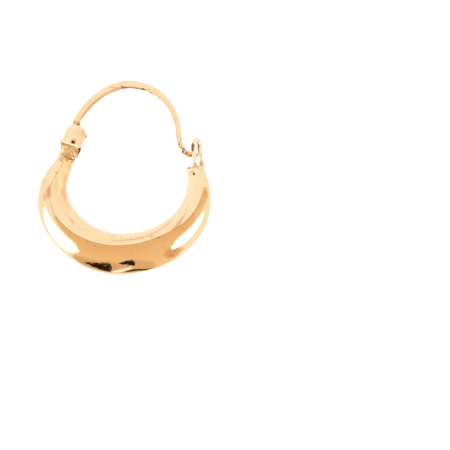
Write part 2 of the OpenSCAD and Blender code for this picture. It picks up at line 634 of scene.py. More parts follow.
@dataclass(frozen=True)
class Finish:
    """A gold finish: its colours and how far it is polished."""

    TONE_SCALE, BLUSH_SCALE, GRAIN_SCALE = 0.35, 0.9, 9.0
    BLUSH_SHARE, BUMP_DEPTH, TORN = 0.35, 0.00002, 1.3
    SATIN, SATIN_WIDTH = 0.17, 0.15
    LINE_TINT, LINE_SHARE, LINE_WIDTH = (0.55, 0.27, 0.10, 1.0), 0.6, 0.07

    name: str
    light: Triple
    deep: Triple
    stain: Triple
    roughness: float
    grain: float
    follows_seam: bool = False

    def material(self, marks: Sequence[Mark] = ()) -> bpy.types.Material:
        """Builds the procedural material once and gives it back after that.

        Args:
            marks: the stains, specks and patches of painted light and shade on the piece that asks first.

        Returns:
            The material.
        """
        made = bpy.data.materials.get(self.name)
        if made:
            return made
        made = bpy.data.materials.new(self.name)
        s = blank(made)
        at = self._flat_place(s)
        # On the crescent the seam splits the colour: the inner band is painted a shade paler and the belly
        # a shade deeper, a painted reflection.
        if self.follows_seam:
            distance = s.attribute("seam_distance")
            share = s.ramp(distance, -0.06, 0.06, 1.0, 0.0)
        else:
            share = s.ramp(s.noise(at, self.TONE_SCALE, 3.0), 0.35, 0.65)
        colour = s.mixed(share, self.light + (1.0,), self.deep + (1.0,))
        blush = s.ramp(s.noise(at, self.BLUSH_SCALE, 4.0), 0.55, 0.8, 0.0, self.BLUSH_SHARE)
        colour = s.mixed(blush, colour, self.stain + (1.0,))
        fine = s.noise(at, self.GRAIN_SCALE, 5.0)
        roughness = s.ramp(fine, 0.3, 0.75, self.roughness * 0.7, self.roughness * 1.6)
        if self.follows_seam:
            satin = s.ramp(distance, 0.0, self.SATIN_WIDTH, 0.0, self.SATIN)
            roughness = s.math("ADD", roughness, satin)
            line = s.ramp(s.math("ABSOLUTE", distance), 0.0, self.LINE_WIDTH, self.LINE_SHARE, 0.0)
            line = s.math("MULTIPLY", line, s.ramp(s.attribute("seam_height"), 0.02, 0.12))
            colour = s.mixed(line, colour, self.LINE_TINT)
        for mark in marks:
            colour, roughness = self._marked(s, at, mark, colour, roughness)
        feeds = {"Height": fine, "Strength": self.grain, "Distance": self.BUMP_DEPTH}
        bump = s.node("ShaderNodeBump", feeds).outputs[0]
        feeds = {"Base Color": colour, "Metallic": 1.0, "Roughness": roughness, "Normal": bump}
        shader = s.node("ShaderNodeBsdfPrincipled", feeds).outputs[0]
        s.node("ShaderNodeOutputMaterial", {"Surface": shader})
        return made

    def _marked(
        self, s: Sketch, at: Socket, mark: Mark, colour: Feed, roughness: Feed
    ) -> tuple[Socket, Socket]:
        """Lays one mark over the colour and the roughness.

        Args:
            s: the material's sketch.
            at: the place on the piece in the flat drawing.
            mark: the mark.
            colour: the colour so far.
            roughness: the roughness so far.

        Returns:
            The new colour and roughness.
        """
        away = s.vector("DIVIDE", s.vector("SUBTRACT", at, tuple(mark.at)), mark.size)
        torn = s.math("SUBTRACT", s.noise(at, 1.6 / max(mark.size), 4.0), 0.5)
        reach = s.math("ADD", s.vector("LENGTH", away), s.math("MULTIPLY", torn, self.TORN))
        share = s.ramp(reach, 1.0 - mark.edge, 1.0, mark.strength, 0.0)
        colour = s.mixed(share, colour, mark.tint + (1.0,))
        return colour, s.math("ADD", roughness, s.math("MULTIPLY", share, mark.roughness))

    def _flat_place(self, s: Sketch) -> Socket:
        """The place on the piece in the flat drawing's millimetres."""
        back = laid_down().inverted()
        feeds = {"Vector": s.place(), "Location": back.translation, "Rotation": back.to_euler()}
        return s.node("ShaderNodeMapping", feeds | {"Scale": (1 / MM,) * 3}).outputs[0]


BLUSH = (0.85, 0.46, 0.24)
# The polished gold's paler colour goes on the inner band and its deeper one on the belly: painted
# reflection.
POLISHED = Finish(
    "mirror_polished_gold", (0.98, 0.76, 0.47), (0.98, 0.74, 0.44), BLUSH, 0.03, 0.04, follows_seam=True
)
PLAIN_GOLD = Finish("sheet_gold", (0.98, 0.77, 0.50), (0.97, 0.73, 0.46), BLUSH, 0.26, 0.2)
CHEEK_GOLD = Finish("cheek_gold", (0.99, 0.79, 0.52), (0.98, 0.74, 0.46), (0.92, 0.58, 0.34), 0.2, 0.2)
EYE_GOLD = Finish("bent_wire_gold", (1.0, 0.82, 0.60), (0.98, 0.75, 0.50), BLUSH, 0.12, 0.15)
WIRE_GOLD = Finish("drawn_wire_gold", (0.98, 0.77, 0.50), (0.97, 0.71, 0.42), BLUSH, 0.13, 0.2)
RIVET_GOLD = Finish(
    "hammered_rivet_gold", (1.0, 0.78, 0.52), (0.92, 0.62, 0.36), (0.6, 0.32, 0.18), 0.2, 0.3
)
BLOCK_SOLDER = Finish("hinge_solder", (0.93, 0.68, 0.36), (0.66, 0.40, 0.17), (0.50, 0.24, 0.10), 0.22, 1.0)
BEAD_SOLDER = Finish("bead_solder", (0.80, 0.60, 0.28), (0.62, 0.44, 0.17), (0.58, 0.34, 0.16), 0.25, 0.8)


class Assembly:
    """What every sub-assembly shares: it turns flat meshes into pieces of the frame."""

    body: Body
    nodes: tuple[str, ...]

    def piece(
        self, name: str, mesh: bpy.types.Mesh, finish: Finish, slot: Slot, marks: Sequence[Mark] = ()
    ) -> bpy.types.Object:
        """Lays a flat mesh down in the frame and hands it to its body.

        Args:
            name: the piece's name.
            mesh: its mesh in the flat drawing.
            finish: what it is dressed with.
            slot: the record's slot of that finish; not used.
            marks: the stains, specks and patches of painted light and shade on it.

        Returns:
            The finished object.
        """
        mesh.name = name
        mesh.transform(laid_down())
        mesh.materials.clear()
        mesh.materials.append(finish.material(marks))
        made = linked(name, mesh)
        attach(made, self.body.value)
        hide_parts(*self.nodes)
        logging.info("%s: %d faces on %s", name, len(mesh.polygons), self.body.value)
        return made


@dataclass
class Crescent(Assembly):
    """The hollow crescent: an inner gutter and a lens-shaped belly shell, soldered along a fine ridge."""

    half_width: float = 9.55
    belly_radius: float = 2.15
    wall: float = 0.2
    shrink: float = 0.028
    pit_at: tuple[float, float] = (0.24, -0.24)
    crease: float = 0.13
    crease_width: float = 0.6
    crease_from: float = 1.2
    crease_to: float = 11.4
    crease_rise: float = 1.6
    wave: float = 0.05
    end_wall: float = 0.25
    rings_per_row: int = 24
    sides: int = 96
    body: Body = Body.HOOP
    nodes: tuple[str, ...] = ("hoop",)
    # angle round the hoop's middle, middle line as a share of half_width,
    # tube radius as a share of belly_radius, angle of the seam round the tube
    rows: tuple[tuple[float, float, float, float], ...] = (
        (-204, 0.726, 0.42, 20),
        (-194, 0.748, 0.49, 50),
        (-175, 0.834, 0.69, 98),
        (-157, 0.850, 0.85, 113),
        (-139, 0.808, 0.93, 120),
        (-120, 0.756, 0.99, 125),
        (-99, 0.704, 1.00, 125),
        (-78, 0.675, 0.98, 122),
        (-56, 0.693, 0.94, 118),
        (-35, 0.746, 0.89, 108),
        (-14, 0.817, 0.77, 82),
        (5, 0.859, 0.57, 46),
        (19, 0.868, 0.42, 5),
    )

    @property
    def last(self) -> int:
        """The number of the last row."""
        return len(self.rows) - 1

    def middle(self, u: float) -> Vector:
        """The tube's middle at row u."""
        angle, share, _, _ = row_at(self.rows, u)
        a, r = math.radians(angle), share * self.half_width
        return Vector((r * math.cos(a), r * math.sin(a), 0.0))

    def seam(self, u: float) -> float:
        """The seam's angle round the tube at row u."""
        return row_at(self.rows, u)[3]

    def radius(self, u: float) -> float:
        """The tube's radius at row u."""
        return row_at(self.rows, u)[2] * self.belly_radius

    def across(self, u: float) -> Vector:
        """The direction in the hoop's plane away from its middle, square to the tube at row u."""
        step = 0.02
        along = (self.middle(min(u + step, self.last)) - self.middle(max(u - step, 0))).normalized()
        return Vector((along.y, -along.x, 0.0))

    def crease_height(self, u: float) -> float:
        """How far the seam stands proud at row u; it dies away towards both ends."""
        rise = (u - self.crease_from) / self.crease_rise
        fall = (self.crease_to - u) / self.crease_rise
        return self.crease * min(max(rise, 0.0), 1.0) * min(max(fall, 0.0), 1.0)

    def surface(self, u: float, turn: float) -> Vector:
        """The outer surface at row u and so many degrees round the tube, 0 outward and 90 in front.

        Args:
            u: row number along the tube.
            turn: degrees round the tube.

        Returns:
            The point in the flat drawing.
        """
        _, _, share, seam = row_at(self.rows, u)
        radius = share * self.belly_radius - self.shrink
        fold = math.degrees(math.acos(math.cos(math.radians(turn))))
        distance = (fold - seam) * radius * math.pi / 180
        ridge = math.exp(-abs(distance) / self.crease_width) * self.crease_height(u)
        a = math.radians(turn)
        return self.middle(u) + (self.across(u) * math.cos(a) + FLAT_UP * math.sin(a)) * (radius + ridge)

    def spot(self, u: float, turn: float) -> tuple[Vector, Vector]:
        """A place on the outer surface, laid down in the frame.

        Args:
            u: row number along the tube.
            turn: degrees round the tube.

        Returns:
            The point in metres and the outward normal.
        """
        du, dt = 0.02, 0.5
        point = self.surface(u, turn)
        along = self.surface(min(u + du, self.last), turn) - self.surface(max(u - du, 0), turn)
        around = self.surface(u, turn + dt) - self.surface(u, turn - dt)
        return facing(point, along.cross(around), self.middle(u))

    def stations(self, first: float, last: float, inset: float, rings_per_row: int) -> list[Station]:
        """The sections between two rows, moved in by inset.

        Args:
            first: the row to start at.
            last: the row to end at.
            inset: how far under the surface.
            rings_per_row: sections from one row to the next.

        Returns:
            The sections in order.
        """
        count = round((last - first) * rings_per_row)
        made = []
        for i in range(count + 1):
            u = first + (last - first) * i / count
            radius = self.radius(u) - inset
            seam, crease = self.seam(u), self.crease_height(u)
            made.append(Station(self.middle(u), self.across(u), radius, radius, seam, crease))
        return made

    def marks(self) -> list[Mark]:
        """The tarnish, the specks and the worn place of the crescent.

        Returns:
            The marks, the pit under the disc last.
        """
        red, orange, brown = (0.80, 0.36, 0.15), (0.90, 0.52, 0.25), (0.22, 0.10, 0.04)
        spots = (
            (1.95, 98, (0.35, 1.0, 1.0), red, 0.75, 0.2),
            (2.15, 84, (0.3, 0.5, 0.6), red, 0.55, 0.2),
            (1.55, 120, (0.2, 1.2, 0.6), orange, 0.5, 0.05),
            (1.3, 155, (0.3, 1.5, 0.7), orange, 0.5, 0.05),
            (2.0, 165, (0.3, 1.2, 0.6), orange, 0.5, 0.05),
            (0.4, 140, (0.5, 0.7, 0.6), orange, 0.6, 0.15),
            (0.2, 80, (0.25, 0.3, 0.4), brown, 0.45, 0.2),
            (1.15, 93, (0.09, 0.14, 0.14), brown, 0.8, 0.3),
            (1.3, 99, (0.05, 0.06, 0.1), brown, 0.7, 0.3),
            (0.85, 84, (0.05, 0.05, 0.1), brown, 0.7, 0.3),
            (2.2, 138, (0.04, 0.06, 0.1), brown, 0.7, 0.3),
            (2.9, 106, (0.1, 0.08, 0.1), brown, 0.6, 0.3),
            (5.02, 121, (0.1, 0.06, 0.1), brown, 0.7, 0.3),
            (5.43, 117, (0.06, 0.14, 0.2), brown, 0.75, 0.3),
            (5.6, 150, (0.04, 0.04, 0.1), brown, 0.5, 0.3),
            (8.62, 111, (0.24, 0.1, 0.12), brown, 0.85, 0.3),
            (8.45, 113, (0.1, 0.06, 0.1), brown, 0.6, 0.3),
            (8.3, 126, (0.7, 0.16, 0.2), orange, 0.8, 0.1),
            (8.85, 66, (0.3, 0.35, 0.4), orange, 0.7, 0.3),
            (8.6, 40, (0.3, 0.3, 0.5), red, 0.5, 0.2),
            (10.9, 28, (0.3, 0.5, 0.4), red, 0.5, 0.15),
            (11.95, 80, (0.18, 0.2, 0.3), orange, 0.7, 0.2),
            (10.2, 72, (0.15, 0.2, 0.3), red, 0.5, 0.2),
        )
        made = [Mark(self.surface(u, turn), *looks) for u, turn, *looks in spots]
        pit = self.middle(self.last) + Vector((*self.pit_at, self.radius(self.last) * 0.9))
        return made + [Mark(pit, (0.17, 0.13, 0.35), (0.26, 0.14, 0.08), 1.0, 0.4, 0.3)]

    def build(self, sweep: Sweep, vent: bpy.types.Mesh) -> bpy.types.Object:
        """Builds the shell with its hollow and its vent.

        Args:
            sweep: the tree that sweeps sections.
            vent: the drill for the vent hole.

        Returns:
            The crescent.
        """
        outside = self.stations(0, self.last, self.shrink, self.rings_per_row)
        gold = POLISHED.material(self.marks())
        skin = Skin(gold, self.sides, self.wave, wave_scale=0.45, ridge_width=self.crease_width)
        outer = sweep.mesh(outside, skin)
        inset, end = self.wall + self.shrink, self.end_wall
        inside = self.stations(end, self.last - end, inset, self.rings_per_row // 4)
        inner = sweep.mesh(inside, replace(skin, sides=self.sides // 2, wave=0.0))
        shell = cut(joined(outer, flipped(inner)), [vent])
        return self.piece("crescent", sharpened(shell, 9), POLISHED, Slot.POLISHED)


@dataclass
class CatchEnd(Assembly):
    """The closing disc, the eye bent from wire and its two beads of solder."""

    crescent: Crescent = field(default_factory=Crescent)
    disc_t: float = 0.35
    vent_d: float = 0.26
    wire_d: float = 0.46
    eye_w: float = 1.5
    eye_leg: float = 1.9
    shrink: float = 0.003
    end_lean: float = 10.0
    eye_lean: float = 5.0
    lump: float = 0.035
    lumps_per_mm: float = 6.0
    body: Body = Body.HOOP
    nodes: tuple[str, ...] = ("hoop",)

    @property
    def end_at(self) -> Vector:
        """The middle of the tube's end face."""
        return self.crescent.middle(self.crescent.last)

    def standing(self, at: Vector, lean: float) -> Matrix:
        """The move from a local frame, z along the leg, to the catch end."""
        leaning = Matrix.Translation(at) @ Matrix.Rotation(math.radians(lean), 4, "Z")
        return leaning @ Matrix.Rotation(-math.pi / 2, 4, "X")

    @property
    def eye_at(self) -> Vector:
        """The point on the end face that the eye stands over."""
        return self.end_at + Vector((0.33, 0.05, 0.0))

    def vent(self) -> bpy.types.Mesh:
        """The drill for the vent hole, through the front wall only."""
        at = self.end_at + Vector((*self.crescent.pit_at, 0.3))
        return moved(lathe(rounded_edge(self.vent_d / 2, 0.0, 2.0, 0.01), 40), Matrix.Translation(at))

    def disc(self) -> bpy.types.Object:
        """The closing disc with a soft rim."""
        radius = self.crescent.radius(self.crescent.last) + 0.05
        mesh = lathe(rounded_edge(radius, -0.05, self.disc_t, 0.09), 96)
        placed = moved(mesh, self.standing(self.end_at, self.end_lean))
        rim = Mark(Vector((7.5, 2.97, 0.5)), (0.5, 0.1, 0.6), (0.55, 0.26, 0.10), 0.8, 0.1)
        return self.piece("closing_disc", sharpened(placed, 30), PLAIN_GOLD, Slot.POLISHED, [rim])

    def eye_stations(self) -> tuple[list[Station], Vector]:
        """The sections of the eye's wire from the front foot to the back, and its sideways direction.

        Returns:
            The sections, and the direction square to the arch.
        """
        top, half, radius = self.disc_t + self.eye_leg, self.eye_w / 2, self.wire_d / 2 - self.shrink
        frame_in = self.standing(self.eye_at, self.eye_lean)
        foot, rungs, bend = 0.1, 12, 32
        path = [(-half, foot + (top - foot) * k / rungs) for k in range(rungs)]
        for k in range(bend + 1):
            a = math.pi * k / bend
            path.append((-half * math.cos(a), top + half * math.sin(a)))
        path += [(half, top - (top - foot) * (k + 1) / rungs) for k in range(rungs)]
        points = [frame_in @ Vector((0.0, y, z)) for y, z in path]
        side = (frame_in.to_3x3() @ Vector((1.0, 0.0, 0.0))).normalized()
        stations = []
        for i, point in enumerate(points):
            along = (points[min(i + 1, len(points) - 1)] - points[max(i - 1, 0)]).normalized()
            stations.append(Station(point, along.cross(side), radius, radius))
        return stations, side

    def eye(self, sweep: Sweep) -> bpy.types.Object:
        """The eye: two legs and a half round arch, swept from round wire.

        Args:
            sweep: the tree that sweeps sections.

        Returns:
            The eye.
        """
        stations, side = self.eye_stations()
        gold = EYE_GOLD.material(self.eye_painted_shade_and_reflection())
        skin = Skin(gold, sides=32, wave=0.02, wave_scale=1.6, normal=side)
        return self.piece("catch_eye", sweep.mesh(stations, skin), EYE_GOLD, Slot.POLISHED)

    def eye_painted_shade_and_reflection(self) -> list[Mark]:
        """Painted shade and painted dark reflections on the eye's legs, where the ear wire's hook passes
        through.

        Returns:
            The marks.
        """
        brown, dark = (0.36, 0.13, 0.03), (0.14, 0.04, 0.01)
        # The brown and dark patches are painted shade and painted reflection of the dark hook.
        spots = (
            ((7.88, 5.08, 0.95), (0.32, 0.62, 0.5), brown, 1.0),
            ((7.80, 4.88, 0.92), (0.26, 0.3, 0.45), dark, 1.0),
            ((7.84, 4.80, -0.60), (0.24, 1.0, 0.4), brown, 1.0),
            ((7.80, 4.22, -0.70), (0.13, 0.14, 0.26), dark, 1.0),
            ((8.16, 4.05, -0.58), (0.09, 0.1, 0.2), dark, 0.8),
            ((8.05, 3.45, 0.85), (0.2, 0.3, 0.3), (0.92, 0.60, 0.36), 0.5),
        )
        return [Mark(Vector(at), size, tint, share, 0.15, 0.45) for at, size, tint, share in spots]

    def beads(self) -> list[bpy.types.Object]:
        """The two beads of solder that climb the eye's legs.

        Returns:
            The back bead and the front one.
        """
        made = []
        for name, side, size in (("back", 0.66, 1), ("front", 0.78, -1)):
            foot, climb, rim = 0.36 * side, 0.52 * side, 0.03
            profile = [(0.0, -0.05), (foot, -0.05), (foot, rim)]
            steps = 8
            for k in range(1, steps + 1):
                t = k / steps
                taper = math.sin(t * math.pi / 2) ** 0.8
                profile.append((foot - (foot - self.wire_d / 2) * taper, rim + climb * t**1.6))
            profile.append((0.0, rim + climb))
            mesh = lathe(profile, 48)
            for v in mesh.vertices:
                lump = noise.noise(v.co * self.lumps_per_mm + Vector((size, 0, 0)))
                v.co += v.co.normalized() * self.lump * lump
            leg = Matrix.Translation((0.03, size * self.eye_w / 2, self.disc_t))
            at = self.standing(self.eye_at, self.eye_lean) @ leg
            made.append(self.piece(f"eye_solder_{name}", moved(mesh, at), BEAD_SOLDER, Slot.POLISHED))
        return made


@dataclass
class Hinge(Assembly):
    """The block at the hinge end, its two cheek plates and the rivet through them."""

    crescent: Crescent = field(default_factory=Crescent)
    cheek_t: float = 0.3
    cheek_radius: float = 1.07
    back_share: float = 0.8
    slot_t: float = 0.5
    swing_radius: float = 0.95
    block_t: float = 0.9
    bore_d: float = 0.5
    rivet_d: float = 0.46
    head_d: float = 0.64
    head_h: float = 0.14
    soft: float = 0.05
    body: Body = Body.HOOP
    nodes: tuple[str, ...] = ("hoop",)
    cheek_corners: tuple[tuple[float, float], ...] = (
        (-1.4, -0.1),
        (0.6, -0.6),
        (1.22, 0.48),
        (0.2, 1.2),
        (-0.78, 1.2),
    )
    cheek_top: tuple[float, float] = (0.17, 0.66)
    block_corners: tuple[tuple[float, float], ...] = (
        (-1.5, 0.05),
        (0.5, -0.4),
        (0.34, -1.15),
        (-0.02, -1.84),
        (-1.55, -1.72),
    )
    voxel: float = 0.028
    # height of the lumps, lumps to a millimetre
    grains: tuple[tuple[float, float], ...] = ((0.05, 2.6), (0.022, 8))
    sunk: float = 0.02

    def cheek_outline(self, share: float, steps: int = 120) -> list[tuple[float, float]]:
        """The edge of a cheek: the corners' polygon joined with its round top.

        Args:
            share: its size, the front cheek being 1.
            steps: points round the edge.

        Returns:
            The (x, y) points, with the pin at 0, 0.
        """
        corners = [Vector(c) for c in self.cheek_corners]
        top = Vector(self.cheek_top)
        tiny = 1e-9
        made = []
        for k in range(steps):
            ray = Vector((math.cos(2 * math.pi * k / steps), math.sin(2 * math.pi * k / steps)))
            reach = ray.dot(top) + math.sqrt(self.cheek_radius**2 - top.length_squared + ray.dot(top) ** 2)
            for a, b in zip(corners, corners[1:] + corners[:1]):
                edge = b - a
                bottom = ray.x * edge.y - ray.y * edge.x
                if abs(bottom) > tiny:
                    t = (a.x * edge.y - a.y * edge.x) / bottom
                    w = (a.x * ray.y - a.y * ray.x) / bottom
                    if t > 0 and -tiny <= w <= 1 + tiny:
                        reach = max(reach, t)
            made.append(tuple(ray * reach * share))
        return made

    def cheeks(self) -> list[bpy.types.Object]:
        """The front and the back cheek, drilled for the rivet.

        Returns:
            The two cheeks.
        """
        made = []
        at_pin = Matrix.Translation(PIN_AT)
        under = -self.slot_t / 2 - self.cheek_t
        for name, share, low in (("front", 1.0, self.slot_t / 2), ("back", self.back_share, under)):
            plate = prism(self.cheek_outline(share), low, low + self.cheek_t, self.soft)
            drill = lathe(rounded_edge(self.bore_d / 2, -2, 2, 0.01), 48)
            plate = moved(cut(plate, [drill]), at_pin)
            plate = sharpened(plate, 30)
            made.append(self.piece(f"cheek_{name}", plate, CHEEK_GOLD, Slot.POLISHED, self.cheek_marks()))
        return made

    def cheek_marks(self) -> list[Mark]:
        """The blush of the front cheek, a painted highlight on it beside the rivet, and painted shade on
        the back cheek.

        Returns:
            The marks.
        """
        front, back = self.slot_t / 2 + self.cheek_t, -self.slot_t / 2
        rose, dark = (0.95, 0.58, 0.38), (0.10, 0.04, 0.03)
        spots = (
            ((0.3, 0.9, front), (0.6, 0.4, 0.3), rose, 0.35),
            ((0.75, 0.1, front), (0.25, 0.5, 0.3), rose, 0.35),
            # a pale streak left of the rivet on the front cheek: a painted highlight
            ((-0.5, 0.25, front), (0.5, 0.12, 0.3), (0.99, 0.86, 0.7), 0.6),
            # dark and brown patches on the back cheek's edge beside the front one: painted shade
            ((0.62, -0.55, back), (0.3, 0.34, 0.4), dark, 1.0),
            ((1.0, 0.35, back), (0.14, 0.34, 0.4), (0.40, 0.20, 0.08), 0.95),
        )
        return [Mark(PIN_AT + Vector(at), size, tint, share, 0.1, 0.4) for at, size, tint, share in spots]

    def block(self) -> bpy.types.Object:
        """The block of solder, cut away where the wire's round end turns, with grainy lumps and pits.

        Returns:
            The block.
        """
        solid = prism(self.block_corners, -self.block_t / 2, self.block_t / 2, 0.0)
        swing = lathe(rounded_edge(self.swing_radius, -self.slot_t / 2, self.slot_t / 2, 0.01), 64)
        beside = [(-3, -0.6), (0, -0.6), (0, 1.4), (-3, 1.4)]
        gap = prism(beside, -self.slot_t / 2, self.slot_t / 2, 0.0)
        foot_at, foot = self.crescent.middle(0.1) - PIN_AT, self.crescent.radius(0.1) - 0.05
        along = self.crescent.middle(0.4) - self.crescent.middle(0)
        collar = lathe(rounded_edge(foot, -0.32, 0.1, 0.08), 64)
        turn = along.to_track_quat("Z", "Y").to_matrix().to_4x4()
        solid = cut(solid, [swing, gap])
        holder = linked("holder", joined(solid, moved(collar, Matrix.Translation(foot_at) @ turn)))
        remesh = holder.modifiers.new("even", "REMESH")
        remesh.mode, remesh.voxel_size, remesh.use_smooth_shade = "VOXEL", self.voxel, True
        smooth = holder.modifiers.new("soft", "SMOOTH")
        smooth.factor, smooth.iterations = 0.5, 8
        lump = plain_mesh(holder)
        for v in lump.vertices:
            grain = sum(height * noise.noise(v.co * per_mm) for height, per_mm in self.grains)
            v.co += v.normal * (grain - self.sunk)
        lump = moved(outward(lump), Matrix.Translation(PIN_AT))
        return self.piece("hinge_block", lump, BLOCK_SOLDER, Slot.POLISHED, self.block_marks())

    def block_marks(self) -> list[Mark]:
        """A painted glint, dark spots, the painted shadow under the front cheek and painted shade on the
        block's side.

        Returns:
            The marks.
        """
        front = self.block_t / 2
        pale, brown, painted_shadow = (0.98, 0.86, 0.62), (0.16, 0.06, 0.03), (0.62, 0.30, 0.15)
        spots = (
            # a pale spot: a painted glint
            (-1.35, -1.0, (0.28, 0.22, 0.4), pale, 0.8),
            (-1.3, -1.45, (0.2, 0.12, 0.3), brown, 0.8),
            (0.28, -1.05, (0.12, 0.1, 0.3), brown, 0.7),
            (-0.35, -1.75, (0.1, 0.12, 0.3), brown, 0.5),
            # two bands just under the front cheek's lower edge: painted shadow
            (-1.1, -0.33, (0.6, 0.14, 0.4), painted_shadow, 0.95),
            (-0.2, -0.55, (0.7, 0.14, 0.4), painted_shadow, 0.95),
            (-0.6, -0.68, (0.5, 0.08, 0.4), painted_shadow, 0.8),
            (0.1, -0.85, (0.4, 0.09, 0.4), painted_shadow, 0.8),
        )
        made = [Mark(PIN_AT + Vector((x, y, front)), *looks, 0.1) for x, y, *looks in spots]
        # a very dark patch on the block's right side: painted shade
        side = PIN_AT + Vector((0.34, -1.15, -0.1))
        return made + [Mark(side, (0.3, 0.4, 0.36), (0.06, 0.03, 0.02), 1.0, 0.1, 0.3)]

    def rivet(self) -> bpy.types.Object:
        """The rivet with two hammered domes.

        Returns:
            The rivet.
        """
        shank, head, half = self.rivet_d / 2, self.head_d / 2, self.slot_t / 2 + self.cheek_t + 0.01
        turns = [math.radians(a) for a in range(0, 90, 10)]
        dome = [(head * math.cos(a), half + self.head_h * math.sin(a)) for a in turns]
        upper = [(shank, half)] + dome + [(0.0, half + self.head_h)]
        profile = [(r, -z) for r, z in reversed(upper)] + upper
        mesh = moved(lathe(profile, 48), Matrix.Translation(PIN_AT))
        pin = Rivet()
        # a dark spot just below the middle of the head: a painted dark reflection on the dome
        top = PIN_AT + Vector((0.02, -0.06, half + self.head_h))
        painted_dark_reflection = Mark(top, (0.27, 0.23, 0.4), (0.07, 0.02, 0.006), 1.0, 0.1, 0.35)
        return pin.piece("rivet", mesh, RIVET_GOLD, Slot.RIVET, [painted_dark_reflection])


class Rivet(Assembly):
    """The rivet's own node."""

    body = Body.HOOP
    nodes = ("hinge_rivet",)


@dataclass
class EarWire(Assembly):
    """The flat, hand-bent ear wire with its round drilled end."""

    paddle_d: float = 1.7
    paddle_t: float = 0.44
    bore_d: float = 0.52
    squareness: float = 3.0
    tip_length: float = 0.21
    shrink: float = 0.002
    sides: int = 48
    rings_per_row: int = 16
    body: Body = Body.EAR_WIRE
    nodes: tuple[str, ...] = ("ear_wire",)
    # x, y, width in the hoop's plane, thickness across it
    rows: tuple[tuple[float, float, float, float], ...] = (
        (-5.3, 5.2, 0.95, 0.44),
        (-5.2, 6.5, 0.86, 0.44),
        (-4.0, 8.2, 0.84, 0.54),
        (-1.9, 9.9, 0.86, 0.60),
        (0.6, 10.75, 0.86, 0.60),
        (3.05, 10.4, 0.78, 0.60),
        (4.95, 9.1, 0.64, 0.60),
        (5.85, 7.4, 0.56, 0.60),
        (6.05, 6.0, 0.56, 0.58),
        (6.25, 5.0, 0.56, 0.56),
        (6.8, 4.35, 0.56, 0.55),
        (7.6, 4.15, 0.54, 0.52),
        (8.45, 4.3, 0.42, 0.42),
    )

    def section(self, u: float) -> tuple[Vector, Vector, float, float]:
        """One section of the wire.

        Args:
            u: row number along the wire.

        Returns:
            Its middle, the direction across the wire in the hoop's plane, its width and its thickness.
        """
        step, last = 0.02, len(self.rows) - 1
        x, y, width, depth = row_at(self.rows, u)
        a, b = row_at(self.rows, max(u - step, 0)), row_at(self.rows, min(u + step, last))
        along = Vector((b[0] - a[0], b[1] - a[1], 0.0)).normalized()
        return Vector((x, y, 0.0)), Vector((along.y, -along.x, 0.0)), width, depth

    def stations(self) -> list[Station]:
        """The sections from the hinge end to the rounded tip.

        Returns:
            The sections in order.
        """
        last = len(self.rows) - 1
        count = last * self.rings_per_row
        tip = self.section(last)[0]
        made = []
        for i in range(count + 1):
            middle, across, width, depth = self.section(last * i / count)
            close = min((tip - middle).length / self.tip_length, 1.0)
            round_off = max(math.sqrt(max(1 - (1 - close) ** 2, 0.0)), 0.02)
            wide, deep = (full / 2 * round_off - self.shrink for full in (width, depth))
            made.append(Station(middle, across, wide, deep))
        return made

    def surface(self, u: float, turn: float) -> Vector:
        """The wire's surface at row u and so many degrees round it, 0 inside the hoop and 90 in front.

        Args:
            u: row number along the wire.
            turn: degrees round the wire.

        Returns:
            The point in the flat drawing.
        """
        middle, across, width, depth = self.section(u)
        c, d = math.cos(math.radians(turn)), math.sin(math.radians(turn))
        wide = math.copysign(abs(c) ** (2 / self.squareness), c) * width / 2
        deep = math.copysign(abs(d) ** (2 / self.squareness), d) * depth / 2
        return middle + across * wide + FLAT_UP * deep

    def spot(self, u: float, turn: float) -> tuple[Vector, Vector]:
        """A place on the wire in metres and its outward normal.

        Args:
            u: row number along the wire.
            turn: degrees round the wire.

        Returns:
            The point and the normal.
        """
        du, dt = 0.03, 1
        along = self.surface(u + du, turn) - self.surface(u - du, turn)
        around = self.surface(u, turn + dt) - self.surface(u, turn - dt)
        return facing(self.surface(u, turn), along.cross(around), self.section(u)[0])

    def marks(self) -> list[Mark]:
        """Painted shadow by the front cheek, and painted shade and dark reflections on the wire's top and
        hook.

        Returns:
            The marks.
        """
        orange, brown = (0.92, 0.46, 0.20), (0.14, 0.05, 0.02)
        front = 0.27
        spots = (
            # orange and brown patches just above the front cheek's top edge: painted shadow where the wire
            # goes in under it
            (-5.13, 6.50, (0.55, 0.30, 0.6), orange, 0.95),
            (-4.92, 6.32, (0.26, 0.09, 0.5), brown, 0.8),
            (-5.0, 6.85, (0.3, 0.25, 0.5), (0.92, 0.66, 0.34), 0.6),
            # brown and orange streaks along the inner edge of the top: painted shade and painted dark
            # reflection
            (0.0, 10.52, (0.13, 0.11, 0.3), brown, 1.0),
            (0.4, 10.44, (0.5, 0.11, 0.3), brown, 0.8),
            (1.6, 10.44, (1.4, 0.12, 0.3), (0.5, 0.24, 0.1), 0.9),
            (2.3, 10.44, (0.24, 0.13, 0.3), brown, 1.0),
            (-0.6, 10.36, (1.1, 0.09, 0.4), orange, 0.7),
            (3.2, 10.12, (0.3, 0.09, 0.3), brown, 0.6),
            (3.9, 9.62, (0.22, 0.13, 0.3), brown, 0.5),
            # brown and orange patches on the hook before it enters the eye: painted dark reflection and
            # painted shade
            (6.2, 5.15, (0.08, 0.4, 0.3), brown, 0.8),
            (6.42, 4.86, (0.1, 0.18, 0.3), brown, 0.8),
            (6.62, 4.40, (0.24, 0.2, 0.4), brown, 1.0),
            (6.72, 4.72, (0.3, 0.14, 0.3), brown, 0.8),
            (7.0, 4.12, (0.7, 0.16, 0.5), (0.45, 0.2, 0.07), 0.9),
            (7.1, 4.35, (0.55, 0.3, 0.5), orange, 0.85),
            (7.02, 4.34, (0.13, 0.16, 0.3), brown, 0.85),
            (7.25, 4.5, (0.4, 0.07, 0.3), brown, 0.8),
            (7.62, 4.18, (0.26, 0.24, 0.4), brown, 1.0),
        )
        return [Mark(Vector((x, y, front)), *looks, 0.15, 0.45) for x, y, *looks in spots]

